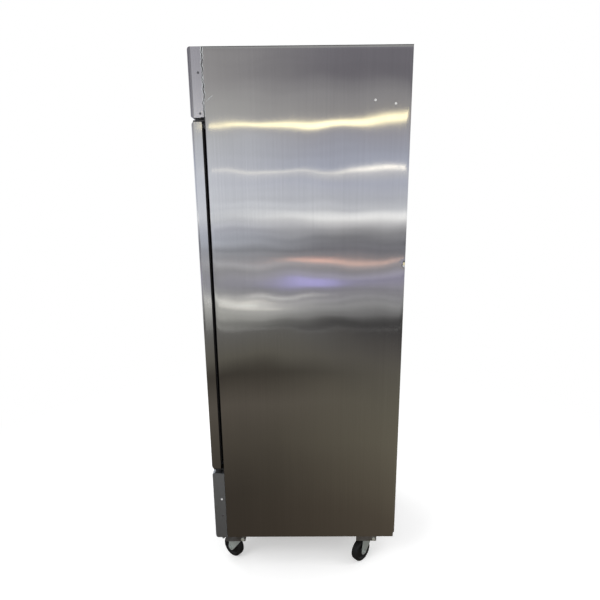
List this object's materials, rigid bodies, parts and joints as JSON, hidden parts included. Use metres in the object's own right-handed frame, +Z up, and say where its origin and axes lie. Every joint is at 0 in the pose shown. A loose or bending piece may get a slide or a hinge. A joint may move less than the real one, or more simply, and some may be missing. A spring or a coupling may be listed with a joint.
{
  "type": "reach in refrigerator",
  "caption": "Upright stainless reach-in refrigerator on swivel casters: hinged solid door with recessed pull, thermostat in the header, louvered panel over the condensing unit, wire shelves.",
  "frame": {"origin": "on the floor, under the centre of the cabinet", "axes": "+X to the right of someone facing the door, +Y to the back, +Z up"},
  "size_m": [0.7326, 0.795, 2.11],
  "materials": {
    "stainless": "brushed, vertical grain",
    "galvanised": "dull spangled zinc",
    "liner_sheet": "fine matt",
    "foam": "rigid foam",
    "breaker_plastic": "satin",
    "gasket_vinyl": "satin vinyl",
    "nylon": "moulded",
    "black_plastic": "moulded",
    "button_plastic": "moulded",
    "zinc_plate": "zinc plated",
    "bright_screw": "bright plated",
    "wheel_rubber": "solid tread",
    "black_enamel": "semi-gloss enamel",
    "fin_aluminium": "rolled",
    "copper_line": "drawn tube",
    "grey_hose": "soft vinyl",
    "mount_rubber": "moulded",
    "coated_wire": "epoxy coat",
    "lamp_diffuser": "frosted"
  },
  "bodies": {
    "cabinet": {"side_panel_left": "stainless", "side_panel_right": "stainless", "header_panel": "stainless", "lower_grille": "stainless", "top_panel": "galvanised", "back_panel": "galvanised", "deck_panel": "galvanised", "base_pan": "galvanised", "caster_rails": "galvanised", "unit_tray": "galvanised", "panel_brackets": "galvanised", "fan_shroud": "galvanised", "liner_walls": "liner_sheet", "liner_ceiling": "liner_sheet", "evaporator_housing": "liner_sheet", "pilasters": "liner_sheet", "insulation": "foam", "breaker_strips": "breaker_plastic", "controller": "black_plastic", "electrical_box": "black_plastic", "condensate_pan": "black_plastic", "cord_gland": "black_plastic", "caster_plates": "zinc_plate", "caster_bolts": "zinc_plate", "hinge_brackets": "zinc_plate", "shelf_clips": "zinc_plate", "panel_screws": "bright_screw", "compressor": "black_enamel", "condenser_fan_motor": "black_enamel", "evaporator_fan_motor": "black_enamel", "condenser_coil": "fin_aluminium", "evaporator_coil": "fin_aluminium", "refrigerant_lines": "copper_line", "drain_hose": "grey_hose", "compressor_mounts": "mount_rubber", "shelf_1": "coated_wire", "shelf_2": "coated_wire", "shelf_3": "coated_wire", "led_lamp": "lamp_diffuser"},
    "door": {"door_skin": "stainless", "door_core": "foam", "door_inner_pan": "stainless", "door_gasket": "gasket_vinyl", "door_handle": "black_plastic", "hinge_bushes": "nylon"},
    "condenser_fan": {"condenser_fan_blade": "fin_aluminium"},
    "evaporator_fan": {"evaporator_fan_blade": "fin_aluminium"},
    "button_up_body": {"button_up": "button_plastic"},
    "button_set_body": {"button_set": "button_plastic"},
    "button_down_body": {"button_down": "button_plastic"},
    "caster_front_right": {"caster_fork_front_right": "zinc_plate"},
    "wheel_front_right": {"caster_wheel_front_right": "wheel_rubber"},
    "brake_front_right": {"brake_lever_front_right": "zinc_plate"},
    "caster_front_left": {"caster_fork_front_left": "zinc_plate"},
    "wheel_front_left": {"caster_wheel_front_left": "wheel_rubber"},
    "brake_front_left": {"brake_lever_front_left": "zinc_plate"},
    "caster_rear_right": {"caster_fork_rear_right": "zinc_plate"},
    "wheel_rear_right": {"caster_wheel_rear_right": "wheel_rubber"},
    "caster_rear_left": {"caster_fork_rear_left": "zinc_plate"},
    "wheel_rear_left": {"caster_wheel_rear_left": "wheel_rubber"}
  },
  "joints": [
    {"name": "door_hinge", "type": "hinge", "parent": "cabinet", "child": "door", "pos_m": [0.343, -0.37675, 1.177], "axis": [0, 0, 1], "range_deg": [0, 120], "stiffness_Nm_per_rad": 3, "springref_deg": -20.05},
    {"name": "condenser_fan_spin", "type": "hinge", "parent": "cabinet", "child": "condenser_fan", "pos_m": [-0.095, -0.1995, 0.2785], "axis": [0, 1, 0], "continuous": true},
    {"name": "evaporator_fan_spin", "type": "hinge", "parent": "cabinet", "child": "evaporator_fan", "pos_m": [0, -0.1975, 1.9475], "axis": [0, 1, 0], "continuous": true},
    {"name": "button_up_press", "type": "slide", "parent": "cabinet", "child": "button_up_body", "axis": [0, 1, 0], "range_m": [0, 0.001], "stiffness_N_per_m": 1000, "springref_m": -0.0005},
    {"name": "button_set_press", "type": "slide", "parent": "cabinet", "child": "button_set_body", "axis": [0, 1, 0], "range_m": [0, 0.001], "stiffness_N_per_m": 1000, "springref_m": -0.0005},
    {"name": "button_down_press", "type": "slide", "parent": "cabinet", "child": "button_down_body", "axis": [0, 1, 0], "range_m": [0, 0.001], "stiffness_N_per_m": 1000, "springref_m": -0.0005},
    {"name": "caster_swivel_front_right", "type": "hinge", "parent": "cabinet", "child": "caster_front_right", "pos_m": [0.301, -0.3085, 0.11], "axis": [0, 0, 1], "continuous": true},
    {"name": "wheel_spin_front_right", "type": "hinge", "parent": "caster_front_right", "child": "wheel_front_right", "pos_m": [0.28551, -0.33062, 0.05], "axis": [0.8192, -0.5736, 0], "continuous": true},
    {"name": "brake_press_front_right", "type": "hinge", "parent": "caster_front_right", "child": "brake_front_right", "pos_m": [0.28551, -0.33062, 0.05], "axis": [0.8192, -0.5736, 0], "range_deg": [0, 20]},
    {"name": "caster_swivel_front_left", "type": "hinge", "parent": "cabinet", "child": "caster_front_left", "pos_m": [-0.301, -0.3085, 0.11], "axis": [0, 0, 1], "continuous": true},
    {"name": "wheel_spin_front_left", "type": "hinge", "parent": "caster_front_left", "child": "wheel_front_left", "pos_m": [-0.28551, -0.33062, 0.05], "axis": [0.8192, 0.5736, 0], "continuous": true},
    {"name": "brake_press_front_left", "type": "hinge", "parent": "caster_front_left", "child": "brake_front_left", "pos_m": [-0.28551, -0.33062, 0.05], "axis": [0.8192, 0.5736, 0], "range_deg": [0, 20]},
    {"name": "caster_swivel_rear_right", "type": "hinge", "parent": "cabinet", "child": "caster_rear_right", "pos_m": [0.301, 0.2745, 0.11], "axis": [0, 0, 1], "continuous": true},
    {"name": "wheel_spin_rear_right", "type": "hinge", "parent": "caster_rear_right", "child": "wheel_rear_right", "pos_m": [0.31976, 0.25508, 0.05], "axis": [0.7193, 0.6947, 0], "continuous": true},
    {"name": "caster_swivel_rear_left", "type": "hinge", "parent": "cabinet", "child": "caster_rear_left", "pos_m": [-0.301, 0.2745, 0.11], "axis": [0, 0, 1], "continuous": true},
    {"name": "wheel_spin_rear_left", "type": "hinge", "parent": "caster_rear_left", "child": "wheel_rear_left", "pos_m": [-0.31976, 0.25508, 0.05], "axis": [0.7193, -0.6947, 0], "continuous": true}
  ]
}
